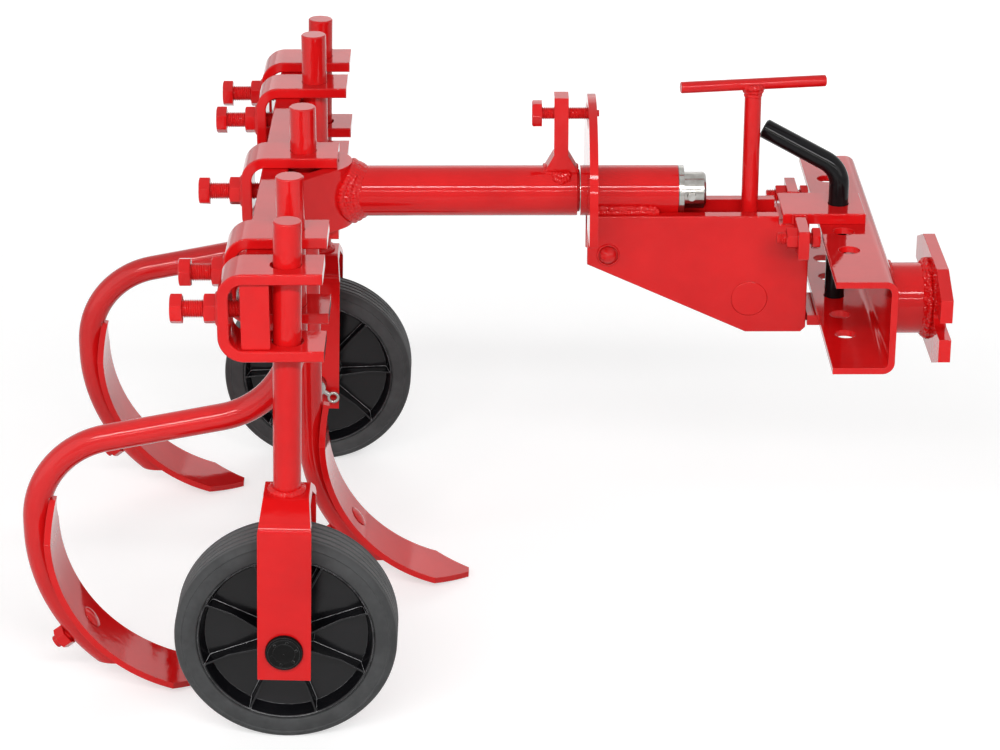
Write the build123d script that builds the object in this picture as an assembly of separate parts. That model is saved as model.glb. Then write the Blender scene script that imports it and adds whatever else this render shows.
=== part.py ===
from build123d import *
import math
import os

# Tiller ripper: a toolbar with three clamped tines and two depth wheels, carried by a swivelling
# boom, a screw-adjusted headstock and a pinned hitch. Forward is +X, left is +Y, up is +Z.
# Sizes are in millimetres. Heights are measured from the boom's axis while modelling, and the
# finished pieces are shifted so that the origin is the middle of the hitch flange's front face.

# Toolbar
bar_thickness = 25.0
bar_height = 60.0
bar_length = 650.0
bar_edge_radius = 2.0

# Clamps on the toolbar
clamp_width = 50.0
clamp_thickness = 10.0
clamp_throat = 10.0
clamp_play = 0.5
clamp_lip = 20.5
clamp_inner_radius = 13.0
clamp_edge_chamfer = 1.0
leg_clamp_setback = 21.0
tine_clamp_setback = 109.0

# Set bolts and their welded nuts
set_bolt_diameter = 16.0
set_bolt_length = 51.0
set_bolt_flats = 24.0
set_head_height = 10.5
set_nut_height = 12.5
set_tip_gap = 0.3

# Round shanks in the clamps
shank_diameter = 25.0
shank_gap = 0.8
shank_chamfer = 1.0
leg_top = 80.5
leg_lean = 1.5
side_tine_top = 90.0
middle_tine_top = 84.0

# Spring tine rods
tine_neck = 60.0
back_bend_radius = 82.0
back_bend_angle = 79.0
back_run = 108.2
drop_bend_radius = 84.0
drop_run = 10.5
foot_radius = 165.0
foot_angle = 60.0
foot_drop = 132.5

# Reversible points
point_width = 62.0
point_thickness = 6.0
point_top_angle = -12.5
point_tip_angle = 86.4
point_taper = 34.0
point_tip_width = 9.0
point_gap = 0.1
point_seat_depth = 2.8
point_seat_ease = 1.0
point_bolt_diameter = 12.0
point_head_diameter = 22.0
point_head_height = 2.4
point_nut_flats = 19.0
point_nut_height = 10.0
point_bolt_tail = 5.0

# Depth wheels
rim_diameter = 160.0
rim_wall = 4.0
rim_width = 46.0
step_wall = 8.0
step_width = 26.0
web_thickness = 9.0
wheel_rib_count = 8
wheel_rib_thickness = 5.0
wheel_rib_width = 20.0
wheel_hub_diameter = 44.0
hub_drop = 310.0
tyre_section = 20.0
tyre_width = 50.0
tyre_shoulder = 6.0
tyre_seat_gap = 0.05
tread_groove_count = 5
tread_groove_width = 3.0
tread_groove_depth = 2.5

# Wheel forks
fork_thickness = 8.0
fork_width = 47.5
fork_side_gap = 13.0
fork_crown = 29.5
fork_shoulder = 15.5
fork_head_half = 15.0
fork_tail = 28.5
fork_corner_cut = 3.5
fork_bend_radius = 3.0

# Axles
axle_diameter = 20.0
axle_running_play = 0.08
wheel_end_play = 0.5
axle_tail = 13.0
axle_cap_grip = 3.0
cap_diameter = 34.0
cap_height = 5.0
cap_top_diameter = 28.0
cap_flute_count = 12
cap_flute_radius = 1.2
split_pin_diameter = 5.0
split_pin_length = 34.0
split_pin_slope = 35.0
split_eye_radius = 5.0

# Boom
boom_diameter = 48.0
boom_length = 213.5
bracket_thickness = 13.0
bracket_reach = 59.5
bracket_nose_radius = 35.0
bracket_half_angle = 45.0
shaft_diameter = 35.0
shaft_insert = 90.0
shaft_weld_fit = 0.05
shaft_tail = 21.0
shaft_chamfer = 2.0
thrust_ring_thickness = 5.0
thrust_ring_diameter = 47.5
thrust_ring_play = 0.4
shaft_pin_diameter = 8.0
shaft_pin_length = 42.0
shaft_pin_setback = 7.0

# Lug and lock bolt
lug_thickness = 13.5
lug_width = 21.0
lug_setback = 8.8
lug_rim = 18.0
lug_flare = 8.0
lug_flare_height = 14.0
lock_height = 77.0
lock_bolt_diameter = 12.0
lock_bolt_length = 54.0
lock_bolt_flats = 22.0
lock_head_height = 9.5
lock_tip_reach = 3.0

# Swivel sleeve and quadrant
sleeve_diameter = 48.0
sleeve_length = 93.0
sleeve_gap = 3.0
sleeve_running_play = 0.05
quadrant_thickness = 8.0
quadrant_setback = 6.2
quadrant_rim = 15.0
quadrant_drop = 25.4
quadrant_slot_angle = 30.0
quadrant_slot_play = 0.6

# Side plates
plate_half_gap = 18.0
plate_thickness = 12.0
plate_setback = 6.5
plate_nose_drop = 10.0
plate_end_chamfer = 4.7
plate_seam = 0.1
pivot_margin = 19.9
pivot_depth = 38.5
screw_offset = 135.7
screw_to_end = 55.0
plate_bottom_margin = 16.7
plate_slope_lead = 2.7

# Pivot bolt and barrel nut
pivot_diameter = 14.0
pivot_running_play = 0.05
pivot_dome_diameter = 16.0
pivot_dome_height = 8.0
pivot_flange_diameter = 22.0
pivot_flange_height = 2.5
pivot_nut_flats = 21.0
pivot_nut_height = 11.0
pivot_bolt_tail = 4.0
barrel_diameter = 35.0
barrel_running_play = 0.05

# Adjusting screw
spindle_diameter = 16.0
spindle_tail = 13.0
crossbar_diameter = 11.0
crossbar_length = 140.0
crossbar_turn = 9.0
handle_rise = 121.5
collar_diameter = 28.0
collar_height = 7.0
thrust_washer_diameter = 32.0
thrust_washer_thickness = 3.0
thrust_gap = 0.3
screw_stack_gap = 2.0

# Tongue arm
arm_height = 25.0
arm_side_play = 0.5
arm_eye_radius = 13.0
seat_radius = 15.0
seat_slot_length = 24.0
seat_slot_play = 0.75
post_gap = 9.5

# Tongue plates
tongue_thickness = 10.0
tongue_rise = 2.5
tongue_overlap = 25.6
tongue_tail = 23.0
tongue_side_play = 0.5
tongue_notch_gap = 3.5
tongue_seat_gap = 0.5
lower_plate_gap = 1.4

# Ears and their bolts
ear_thickness = 10.0
ear_height = 28.0
ear_top_step = 1.0
ear_edge = 18.0
ear_bolt_side = 60.0
ear_bolt_diameter = 12.0
ear_bolt_flats = 18.0
ear_head_height = 7.5
ear_head_standoff = 4.0
ear_bolt_gap = 2.6
ear_nut_height = 10.0
ear_bolt_tail = 9.0

# Hitch channel
channel_length = 353.0
channel_shift = -6.5
channel_width = 56.5
channel_height = 90.0
channel_thickness = 6.0
channel_inner_radius = 5.0
channel_gap = 9.4
channel_play = 0.3
channel_lower_play = 3.0
channel_hole_diameter = 20.0
channel_hole_pitch = 50.0
channel_hole_count = 5
channel_hole_setback = 20.5

# Bent hitch pin
pin_diameter = 19.0
pin_tail = 12.0
pin_neck = 19.5
pin_bend_radius = 24.0
pin_bend_angle = 66.3
pin_arm = 66.5
pin_swing = 18.0
pin_chamfer = 1.5

# Stub and hitch flange
stub_diameter = 66.0
stub_wall = 8.0
stub_length = 38.0
stub_setback = 77.0
flange_thickness = 11.0
flange_length = 170.0
flange_height = 92.0
flange_cut_length = 38.0
flange_cut_height = 16.0
flange_slot_width = 16.5
flange_slot_depth = 40.0

# Shared fits
thread_play = 0.2
hole_play = 0.3
plate_chamfer = 0.8

# Places along the boom, from the toolbar's rear face
shank_x = bar_thickness + shank_gap + shank_diameter / 2
lean_slope = math.tan(math.radians(leg_lean))
leg_x = shank_x + bar_height / 2 * lean_slope
bracket_nose_x = bar_thickness + bracket_reach
boom_end_x = bracket_nose_x + boom_length
sleeve_start_x = boom_end_x + sleeve_gap
sleeve_end_x = sleeve_start_x + sleeve_length
ring_start_x = sleeve_end_x + thrust_ring_play
shaft_end_x = ring_start_x + thrust_ring_thickness + shaft_tail
shaft_pin_x = ring_start_x + thrust_ring_thickness + shaft_pin_setback
quadrant_x = sleeve_start_x + quadrant_setback
quadrant_front_x = quadrant_x + quadrant_thickness
plate_start_x = sleeve_start_x + plate_setback
pivot_x = plate_start_x + pivot_margin
screw_x = pivot_x + screw_offset
plate_end_x = screw_x + screw_to_end
tongue_start_x = plate_end_x - tongue_overlap
post_start_x = screw_x + barrel_diameter / 2 + post_gap
channel_rear_x = plate_end_x + channel_gap
channel_front_x = channel_rear_x + channel_width
pin_x = channel_rear_x + channel_hole_setback
tongue_end_x = pin_x + tongue_tail
ear_front_x = channel_rear_x - ear_bolt_gap - ear_head_height - ear_head_standoff
flange_rear_x = channel_front_x + stub_length
flange_front_x = flange_rear_x + flange_thickness

# Places to either side of the boom's axis
leg_clamp_side = bar_length / 2 - leg_clamp_setback
tine_clamp_side = bar_length / 2 - tine_clamp_setback
stub_side = channel_length / 2 - channel_shift - stub_setback

# Heights from the boom's axis
plate_outer = plate_half_gap + plate_thickness
plate_top = -math.sqrt((sleeve_diameter / 2) ** 2 - plate_half_gap ** 2) - plate_seam
pivot_z = plate_top - pivot_depth
screw_stack = 2 * thrust_gap + thrust_washer_thickness + collar_height + screw_stack_gap
barrel_z = pivot_z - seat_radius - screw_stack - barrel_diameter / 2
plate_bottom = barrel_z - barrel_diameter / 2 - plate_bottom_margin
tongue_top = plate_top + tongue_rise
tongue_under = tongue_top - tongue_thickness
notch_floor = tongue_under - tongue_seat_gap
channel_top = tongue_under - channel_play
channel_bottom = channel_top - channel_height
lower_plate_top = channel_bottom - channel_lower_play
ear_bolt_z = channel_top - channel_thickness / 2
flange_z = (channel_top + channel_bottom) / 2
crossbar_z = plate_top + handle_rise
tongue_half = plate_outer + tongue_side_play
quadrant_radius = lock_height + quadrant_rim
clamp_inner_half = bar_height / 2 + clamp_play
clamp_half = clamp_inner_half + clamp_thickness
leg_hole_play = hole_play + clamp_half * lean_slope
clamp_end_x = shank_x + shank_diameter / 2 + clamp_lip
hub_z = -hub_drop
tyre_diameter = rim_diameter + 2 * tyre_section
fork_inner_half = tyre_width / 2 + fork_side_gap
fork_outer_half = fork_inner_half + fork_thickness

# The spring tine's route, which also sets how deep all three points work
back_turn = math.radians(back_bend_angle)
back_drop = back_bend_radius * math.sin(back_turn) + back_run * math.cos(back_turn)
foot_z = -tine_neck - back_drop - drop_bend_radius * math.sin(back_turn) - drop_run
foot_back_radius = foot_radius - shank_diameter / 2 + point_seat_depth - point_gap
point_mid_radius = foot_back_radius - point_thickness / 2
point_mid_angle = (point_top_angle + point_tip_angle) / 2
point_half_span = (point_tip_angle - point_top_angle) / 2

# The origin: middle of the hitch flange's front face
origin_x = flange_front_x
origin_y = -stub_side
origin_z = flange_z


def along_x(shape):
    """Turn a shape that was made along Z so that it points along +X."""
    return Rot(0, 90, 0) * shape


def along_y(shape):
    """Turn a shape that was made along Z so that it points along +Y."""
    return Rot(-90, 0, 0) * shape


def rod_x(diameter, start, end, y=0.0, z=0.0):
    """A round bar along X from start to end."""
    return Pos((start + end) / 2, y, z) * along_x(Cylinder(diameter / 2, end - start))


def rod_y(diameter, start, end, x=0.0, z=0.0):
    """A round bar along Y from start to end."""
    return Pos(x, (start + end) / 2, z) * along_y(Cylinder(diameter / 2, end - start))


def rod_z(diameter, start, end, x=0.0, y=0.0):
    """A round bar along Z from start to end."""
    return Pos(x, y, (start + end) / 2) * Cylinder(diameter / 2, end - start)


def block(x_range, y_range, z_range):
    """A box between two limits on each axis."""
    sizes = [limits[1] - limits[0] for limits in (x_range, y_range, z_range)]
    middle = [sum(limits) / 2 for limits in (x_range, y_range, z_range)]
    return Pos(*middle) * Box(*sizes)


def plate_xz(points, start, end):
    """A flat plate with its outline in the XZ plane, from Y start to Y end."""
    outline = make_face(Polyline(*points, close=True))
    return Pos(0, (start + end) / 2, 0) * extrude(Plane.XZ * outline, amount=(end - start) / 2, both=True)


def strap(points, radius, thickness):
    """Profile of a bent flat bar. The points follow its inner face, with the inside on their left."""
    inner = FilletPolyline(*points, radius=radius)
    return make_face(offset(inner, amount=thickness, side=Side.RIGHT, closed=True))


def hexagon(flats, height):
    """A hexagon prism on the XY plane, with its upper corners turned off."""
    corner = flats / math.sqrt(3)
    bevel = (corner - flats / 2) / 2
    prism = extrude(RegularPolygon(flats / 2, 6, major_radius=False), height)
    straight = Pos(0, 0, (height - bevel) / 2) * Cylinder(corner, height - bevel)
    turned = Pos(0, 0, height - bevel / 2) * Cone(corner, flats / 2, bevel)
    return prism & (straight + turned)


def hex_nut(flats, height, bore):
    """A nut standing on the XY plane."""
    return hexagon(flats, height) - Pos(0, 0, height / 2) * Cylinder(bore / 2, height)


def hex_bolt(diameter, length, flats, head_height):
    """A bolt along Z: the head stands on the XY plane, the thread hangs below it."""
    thread = Pos(0, 0, -length / 2) * Cylinder(diameter / 2, length)
    thread = chamfer(thread.edges().sort_by(Axis.Z)[:1], diameter / 12)
    return hexagon(flats, head_height) + thread


def make_toolbar():
    """The flat bar that carries all clamps."""
    bar = block((0, bar_thickness), (-bar_length / 2, bar_length / 2), (-bar_height / 2, bar_height / 2))
    return fillet(bar.edges().filter_by(Axis.Y), bar_edge_radius)


def make_clamp(y, hole_x, play):
    """A bent clamp strap and the nut welded to its back, as two solids."""
    route = [
        (clamp_end_x, clamp_inner_half),
        (-clamp_throat, clamp_inner_half),
        (-clamp_throat, -clamp_inner_half),
        (clamp_end_x, -clamp_inner_half),
    ]
    profile = strap(route, clamp_inner_radius, clamp_thickness)
    body = extrude(Plane.XZ * profile, amount=clamp_width / 2, both=True)
    body = chamfer(body.faces().filter_by(Axis.Y).edges(), clamp_edge_chamfer)
    body -= rod_z(shank_diameter + 2 * play, -clamp_half, clamp_half, hole_x)
    back = -clamp_throat - clamp_thickness
    bore = set_bolt_diameter + 2 * thread_play
    body -= rod_x(bore, back, -clamp_throat)
    nut = Pos(back, 0, 0) * Rot(0, -90, 0) * hex_nut(set_bolt_flats, set_nut_height, bore)
    return Pos(0, y, 0) * Compound([body, nut])


def make_set_bolt(y):
    """The bolt that presses the toolbar against the shank."""
    bolt = hex_bolt(set_bolt_diameter, set_bolt_length, set_bolt_flats, set_head_height)
    return Pos(-set_tip_gap - set_bolt_length, y, 0) * Rot(0, -90, 0) * bolt


def sweep_rod(route, diameter, plane):
    """A round rod along a route of tangent lines and arcs in a plane."""
    path = plane * Wire(route)
    section = Plane(origin=path @ 0, z_dir=path % 0) * Circle(diameter / 2)
    return sweep(section, path=path)


def foot_axis_x(spring):
    """Where the rod comes down into its foot."""
    if not spring:
        return shank_x
    sideways = 1 - math.cos(back_turn)
    return shank_x - (back_bend_radius + drop_bend_radius) * sideways - back_run * math.sin(back_turn)


def make_tine(y, spring):
    """A tine rod with a curved foot. A spring tine first sweeps backward from its shank."""
    if spring:
        shank = Line((shank_x, side_tine_top), (shank_x, -tine_neck))
        back = JernArc(shank @ 1, shank % 1, back_bend_radius, -back_bend_angle)
        run = Line(back @ 1, back @ 1 + (back % 1) * back_run)
        drop = JernArc(run @ 1, run % 1, drop_bend_radius, back_bend_angle)
        last = Line(drop @ 1, drop @ 1 + (drop % 1) * drop_run)
        route = [shank, back, run, drop, last]
    else:
        last = Line((shank_x, middle_tine_top), (shank_x, foot_z))
        route = [last]
    route.append(JernArc(last @ 1, last % 1, foot_radius, foot_angle))
    rod = sweep_rod(route, shank_diameter, Plane.XZ)
    rod = chamfer(rod.edges().sort_by(Axis.Z)[-1:], shank_chamfer)
    reach = foot_back_radius + 2 * shank_diameter
    hole = rod_x(point_bolt_diameter + 2 * hole_play, -reach, 0)
    seat_half = point_half_span + point_seat_ease
    seat_band = foot_band(foot_back_radius + point_gap, foot_back_radius - point_thickness, seat_half)
    seat = extrude(Plane.XZ * seat_band, amount=shank_diameter, both=True)
    rod -= at_foot(spring) * (hole + seat)
    level = foot_z - foot_drop
    below = Box(2 * foot_radius, 2 * shank_diameter, shank_diameter)
    return Pos(0, y, 0) * (rod - Pos(foot_axis_x(spring) + foot_radius, 0, level - shank_diameter / 2) * below)


def at_foot(spring):
    """The foot's centre of curvature, turned so that -X runs out through the point bolt."""
    centre = Pos(foot_axis_x(spring) + foot_radius, 0, foot_z)
    return centre * Rot(0, -point_mid_angle, 0)


def foot_band(outer, inner, half_span):
    """A strip of the foot's curve between two radii, the same angle either way of the point bolt."""
    return Sketch() + [
        make_face([
            CenterArc((0, 0), outer, 180 - half_span, 2 * half_span),
            CenterArc((0, 0), inner, 180 - half_span, 2 * half_span),
            Line(Vector(outer, 0).rotate(Axis.Z, 180 - half_span),
                 Vector(inner, 0).rotate(Axis.Z, 180 - half_span)),
            Line(Vector(outer, 0).rotate(Axis.Z, 180 + half_span),
                 Vector(inner, 0).rotate(Axis.Z, 180 + half_span)),
        ])
    ]


def make_point(y, spring):
    """The curved reversible point on the front of the foot, tapered at both ends."""
    inner = foot_back_radius - point_thickness
    band = foot_band(foot_back_radius, inner, point_half_span)
    body = extrude(Plane.XZ * band, amount=point_width / 2, both=True)
    taper_angle = math.degrees(point_taper / point_mid_radius)
    for end in (-1, 1):
        turn = Rot(0, end * (point_half_span - taper_angle / 2), 0)
        for side in (-1, 1):
            offcut = Polyline(
                (-end * point_taper / 2, side * point_width / 2),
                (end * point_taper / 2, side * point_tip_width / 2),
                (end * point_taper, side * point_tip_width / 2),
                (end * point_taper, side * point_width),
                (-end * point_taper / 2, side * point_width),
                close=True,
            )
            plane = Plane(origin=(-point_mid_radius, 0, 0), x_dir=(0, 0, 1), z_dir=(-1, 0, 0))
            body -= turn * extrude(plane * make_face(offcut), amount=point_taper / 2, both=True)
    body -= rod_x(point_bolt_diameter + 2 * hole_play, -foot_radius, -inner + point_thickness)
    return Pos(0, y, 0) * at_foot(spring) * body


def make_point_bolt(y, spring):
    """The low-headed bolt through point and rod, and its nut behind the rod, as two solids."""
    front = foot_back_radius - point_thickness
    head_seat = math.sqrt(front ** 2 - (point_head_diameter / 2) ** 2) - point_gap
    rod_back = foot_radius + shank_diameter / 2
    dome = Pos(-head_seat, 0, 0) * along_x(low_dome(point_head_diameter, point_head_height))
    tail = rod_back + point_nut_height + point_bolt_tail
    bolt = dome + rod_x(point_bolt_diameter, -tail, -head_seat)
    nut = hex_nut(point_nut_flats, point_nut_height, point_bolt_diameter + 2 * thread_play)
    nut = Pos(-rod_back - point_gap, 0, 0) * Rot(0, -90, 0) * nut
    return Pos(0, y, 0) * at_foot(spring) * Compound([bolt, nut])


def low_dome(diameter, height):
    """A spherical cap standing on the XY plane."""
    radius = ((diameter / 2) ** 2 + height ** 2) / (2 * height)
    ball = Pos(0, 0, height - radius) * Sphere(radius)
    return ball & Pos(0, 0, height / 2) * Cylinder(diameter / 2, height)


def on_leg(y, height=0.0):
    """A place on a wheel leg's axis, which leans back in its clamp."""
    return Pos(leg_x, y, 0) * Rot(0, leg_lean, 0) * Pos(0, 0, height)


def make_leg_shank(y):
    """The round shank of a wheel leg, standing on its fork."""
    foot = hub_z + tyre_diameter / 2 + fork_crown + fork_thickness
    shank = rod_z(shank_diameter, foot, leg_top)
    return on_leg(y) * chamfer(shank.edges().sort_by(Axis.Z)[-1:], shank_chamfer)


def make_fork(y):
    """The fork: one flat bar bent over the wheel, drilled for the axle."""
    top = hub_z + tyre_diameter / 2 + fork_crown
    crease = hub_z + tyre_diameter / 2 + fork_shoulder
    foot = hub_z - fork_tail
    route = [
        (fork_inner_half, foot),
        (fork_inner_half, crease),
        (fork_head_half, top),
        (-fork_head_half, top),
        (-fork_inner_half, crease),
        (-fork_inner_half, foot),
    ]
    profile = strap(route, fork_bend_radius, fork_thickness)
    body = extrude(Plane.YZ * profile, amount=fork_width / 2, both=True)
    peak = top + fork_thickness
    half = fork_width / 2
    narrow = half - fork_corner_cut
    outline = [(-half, foot), (-half, crease), (-narrow, peak), (narrow, peak), (half, crease), (half, foot)]
    body = body & plate_xz(outline, -fork_outer_half, fork_outer_half)
    body -= rod_y(axle_diameter + 2 * hole_play, -fork_outer_half, fork_outer_half, 0, hub_z)
    return on_leg(y) * body


def make_axle(y, outward):
    """The axle with its split pin at the inner end, as two solids."""
    inner_end = -outward * (fork_outer_half + axle_tail)
    outer_end = outward * (fork_outer_half + axle_cap_grip)
    ends = sorted((inner_end, outer_end))
    axle = rod_y(axle_diameter, ends[0], ends[1])
    axle = chamfer(axle.edges(), shank_chamfer)
    pin_y = inner_end + outward * axle_tail / 2
    slope = Rot(0, split_pin_slope, 0)
    pin = slope * rod_x(split_pin_diameter, -split_pin_length / 2, split_pin_length / 2, pin_y)
    axle -= pin
    eye_x = split_pin_length / 2 + split_eye_radius
    eye = slope * Pos(eye_x, pin_y, 0) * Rot(90, 0, 0) * Torus(split_eye_radius, split_pin_diameter / 3)
    return on_leg(y, hub_z) * Compound([axle, pin + eye])


def make_axle_cap(y, outward):
    """The fluted cap pushed on the outer end of the axle."""
    shoulder = (cap_diameter - cap_top_diameter) / 2
    straight = cap_height - shoulder
    body = Pos(0, 0, straight / 2) * Cylinder(cap_diameter / 2, straight)
    body += Pos(0, 0, straight + shoulder / 2) * Cone(cap_diameter / 2, cap_top_diameter / 2, shoulder)
    for turn in PolarLocations(cap_diameter / 2, cap_flute_count):
        body -= turn * Pos(0, 0, cap_height / 2 + cap_flute_radius) * Cylinder(cap_flute_radius, cap_height)
    body -= Pos(0, 0, axle_cap_grip / 2) * Cylinder(axle_diameter / 2, axle_cap_grip)
    facing = Rot(-90, 0, 0) if outward > 0 else Rot(90, 0, 0)
    return on_leg(y, hub_z) * Pos(0, outward * fork_outer_half, 0) * facing * body


def make_tyre(y):
    """The solid tyre with rounded shoulders and grooves round its tread."""
    bore = rim_diameter / 2 + tyre_seat_gap
    outer = tyre_diameter / 2
    profile = Pos((bore + outer) / 2, 0) * Rectangle(outer - bore, tyre_width)
    profile = fillet(profile.vertices().sort_by(Axis.X)[-2:], tyre_shoulder)
    pitch = tyre_width / (tread_groove_count + 1)
    for place in range(tread_groove_count):
        middle = (place - (tread_groove_count - 1) / 2) * pitch
        profile -= Pos(outer, middle) * Rectangle(2 * tread_groove_depth, tread_groove_width)
    return on_leg(y, hub_z) * revolve(profile, axis=Axis.Y)


def make_wheel_centre(y):
    """The ribbed wheel centre: rim, step ring, web, ribs and a bored hub."""
    rim = rim_diameter / 2
    step = rim - rim_wall
    inner = step - step_wall
    hub = wheel_hub_diameter / 2
    hub_half = fork_inner_half - wheel_end_play
    bore = axle_diameter / 2 + axle_running_play
    profile = Pos(rim - rim_wall / 2, 0) * Rectangle(rim_wall, rim_width)
    profile += Pos(step - step_wall / 2, 0) * Rectangle(step_wall, step_width)
    profile += Pos((inner + bore) / 2, 0) * Rectangle(inner - bore, web_thickness)
    profile += Pos((hub + bore) / 2, 0) * Rectangle(hub - bore, 2 * hub_half)
    body = revolve(profile, axis=Axis.Y)
    rib_length = inner - hub + rim_wall
    for turn in PolarLocations((inner + hub) / 2, wheel_rib_count, 180 / wheel_rib_count):
        rib = Box(rib_length, wheel_rib_thickness, wheel_rib_width)
        body += Rot(90, 0, 0) * turn * rib
    return on_leg(y, hub_z) * body


def make_bracket():
    """The hairpin bracket between toolbar and boom."""
    half = math.radians(bracket_half_angle)
    apex = bracket_nose_x - bracket_nose_radius + bracket_nose_radius / math.sin(half)
    start = bar_thickness - 2 * bracket_thickness
    spread = (apex - start) * math.tan(half)
    inner_apex = apex - bracket_thickness / math.sin(half)
    inner_spread = (inner_apex - start) * math.tan(half)
    outer = FilletPolyline((start, -spread), (apex, 0), (start, spread), radius=bracket_nose_radius)
    nose_inside = bracket_nose_radius - bracket_thickness
    inner = FilletPolyline((start, -inner_spread), (inner_apex, 0), (start, inner_spread), radius=nose_inside)
    filled = make_face([*outer.edges(), Line(outer @ 0, outer @ 1)])
    hollow = make_face([*inner.edges(), Line(inner @ 0, inner @ 1)])
    body = extrude(filled - hollow, amount=bar_height / 2, both=True)
    return body - block((start - spread, bar_thickness), (-spread, spread), (-bar_height, bar_height))


def make_boom_tube():
    """The boom tube, its rear end cut to the bracket's nose."""
    tube = rod_x(boom_diameter, bracket_nose_x - bracket_nose_radius, boom_end_x)
    nose_centre = bracket_nose_x - bracket_nose_radius
    tube -= Pos(nose_centre, 0, 0) * Cylinder(bracket_nose_radius, bar_height)
    tube -= block((nose_centre - boom_diameter, nose_centre), (-boom_diameter, boom_diameter),
                  (-boom_diameter, boom_diameter))
    return tube - rod_x(shaft_diameter + 2 * shaft_weld_fit, nose_centre, boom_end_x)


def make_swivel_shaft():
    """The turned shaft, fixed in the boom tube and running in the sleeve."""
    shaft = rod_x(shaft_diameter, boom_end_x - shaft_insert, shaft_end_x)
    shaft = chamfer(shaft.edges().sort_by(Axis.X)[-1:], shaft_chamfer)
    return shaft - rod_y(shaft_pin_diameter, -shaft_pin_length, shaft_pin_length, shaft_pin_x)


def make_thrust_ring():
    """The plain ring between sleeve and retaining pin."""
    ring = rod_x(thrust_ring_diameter, ring_start_x, ring_start_x + thrust_ring_thickness)
    bore = shaft_diameter + 2 * hole_play
    return ring - rod_x(bore, ring_start_x, ring_start_x + thrust_ring_thickness)


def make_lug():
    """The upright lug with a flared foot, seated on the boom tube."""
    rear = boom_end_x - lug_setback - lug_thickness
    front = boom_end_x - lug_setback
    top = lock_height + lug_rim
    seat = boom_diameter / 2
    low = math.sqrt(seat ** 2 - (lug_width / 2) ** 2)
    points = [
        (rear - lug_flare, low),
        (front + lug_flare, low),
        (front + lug_flare, seat),
        (front, seat + lug_flare_height),
        (front, top),
        (rear, top),
        (rear, seat + lug_flare_height),
        (rear - lug_flare, seat),
    ]
    body = plate_xz(points, -lug_width / 2, lug_width / 2)
    body -= rod_x(boom_diameter, rear - boom_diameter, boom_end_x)
    return body - rod_x(lock_bolt_diameter + 2 * thread_play, rear, front, 0, lock_height)


def make_lock_bolt():
    """The bolt through the lug that locks the boom to the quadrant."""
    bolt = hex_bolt(lock_bolt_diameter, lock_bolt_length, lock_bolt_flats, lock_head_height)
    head_x = quadrant_front_x + lock_tip_reach - lock_bolt_length
    return Pos(head_x, 0, lock_height) * Rot(0, -90, 0) * bolt


def make_sleeve():
    """The sleeve that the swivel shaft turns in."""
    sleeve = rod_x(sleeve_diameter, sleeve_start_x, sleeve_end_x)
    return sleeve - rod_x(shaft_diameter + 2 * sleeve_running_play, sleeve_start_x, sleeve_end_x)


def make_quadrant():
    """The slotted plate round the sleeve, standing on the side plates."""
    arc = CenterArc((0, 0), lock_height, 90 - quadrant_slot_angle / 2, quadrant_slot_angle)
    face = Circle(quadrant_radius) - SlotArc(arc, lock_bolt_diameter + 2 * quadrant_slot_play)
    face -= Circle(sleeve_diameter / 2)
    below = quadrant_radius - quadrant_drop
    face -= Pos(0, -quadrant_drop - below) * Rectangle(2 * quadrant_radius, 2 * below)
    notch_height = quadrant_radius + plate_top
    face -= Pos(0, plate_top - notch_height / 2) * Rectangle(2 * plate_outer, notch_height)
    return Pos(quadrant_x, 0, 0) * extrude(Plane.YZ * face, amount=quadrant_thickness)


def make_side_plate(side):
    """A side plate of the headstock, notched for the tongue."""
    notch_x = tongue_start_x - tongue_notch_gap
    points = [
        (plate_start_x, plate_top),
        (notch_x, plate_top),
        (notch_x, notch_floor),
        (plate_end_x, notch_floor),
        (plate_end_x, plate_bottom + plate_end_chamfer),
        (plate_end_x - plate_end_chamfer, plate_bottom),
        (screw_x - plate_slope_lead, plate_bottom),
        (plate_start_x, pivot_z - plate_nose_drop),
    ]
    edges = sorted((side * plate_half_gap, side * plate_outer))
    body = plate_xz(points, edges[0], edges[1])
    body = chamfer(body.faces().sort_by(Axis.Y)[0 if side < 0 else -1].edges(), plate_chamfer)
    body -= rod_y(pivot_diameter + 2 * pivot_running_play, edges[0], edges[1], pivot_x, pivot_z)
    return body - rod_y(barrel_diameter + 2 * barrel_running_play, edges[0], edges[1], screw_x, barrel_z)


def make_pivot_bolt():
    """The headstock's pivot bolt, domed on the right, with its nut on the left, as two solids."""
    tail = plate_outer + pivot_nut_height + pivot_bolt_tail
    bolt = rod_y(pivot_diameter, -plate_outer, tail)
    bolt += rod_y(pivot_flange_diameter, -plate_outer - pivot_flange_height, -plate_outer)
    bolt += Pos(0, -plate_outer, 0) * Rot(90, 0, 0) * low_dome(pivot_dome_diameter, pivot_dome_height)
    nut = hex_nut(pivot_nut_flats, pivot_nut_height, pivot_diameter + 2 * thread_play)
    return Pos(pivot_x, 0, pivot_z) * Compound([bolt, Pos(0, plate_outer, 0) * along_y(nut)])


def make_barrel_nut():
    """The cross barrel in both side plates, threaded for the spindle."""
    barrel = rod_y(barrel_diameter, -plate_outer, plate_outer, screw_x, barrel_z)
    barrel = chamfer(barrel.edges().filter_by(GeomType.CIRCLE), plate_chamfer)
    bore = spindle_diameter + 2 * thread_play
    return barrel - rod_z(bore, barrel_z - barrel_diameter, barrel_z + barrel_diameter, screw_x)


def make_crossbar():
    """The bar across the top of the spindle."""
    bar = rod_x(crossbar_diameter, -crossbar_length / 2, crossbar_length / 2)
    bar = chamfer(bar.edges(), plate_chamfer)
    return Pos(screw_x, 0, crossbar_z) * Rot(0, 0, crossbar_turn) * bar


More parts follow.
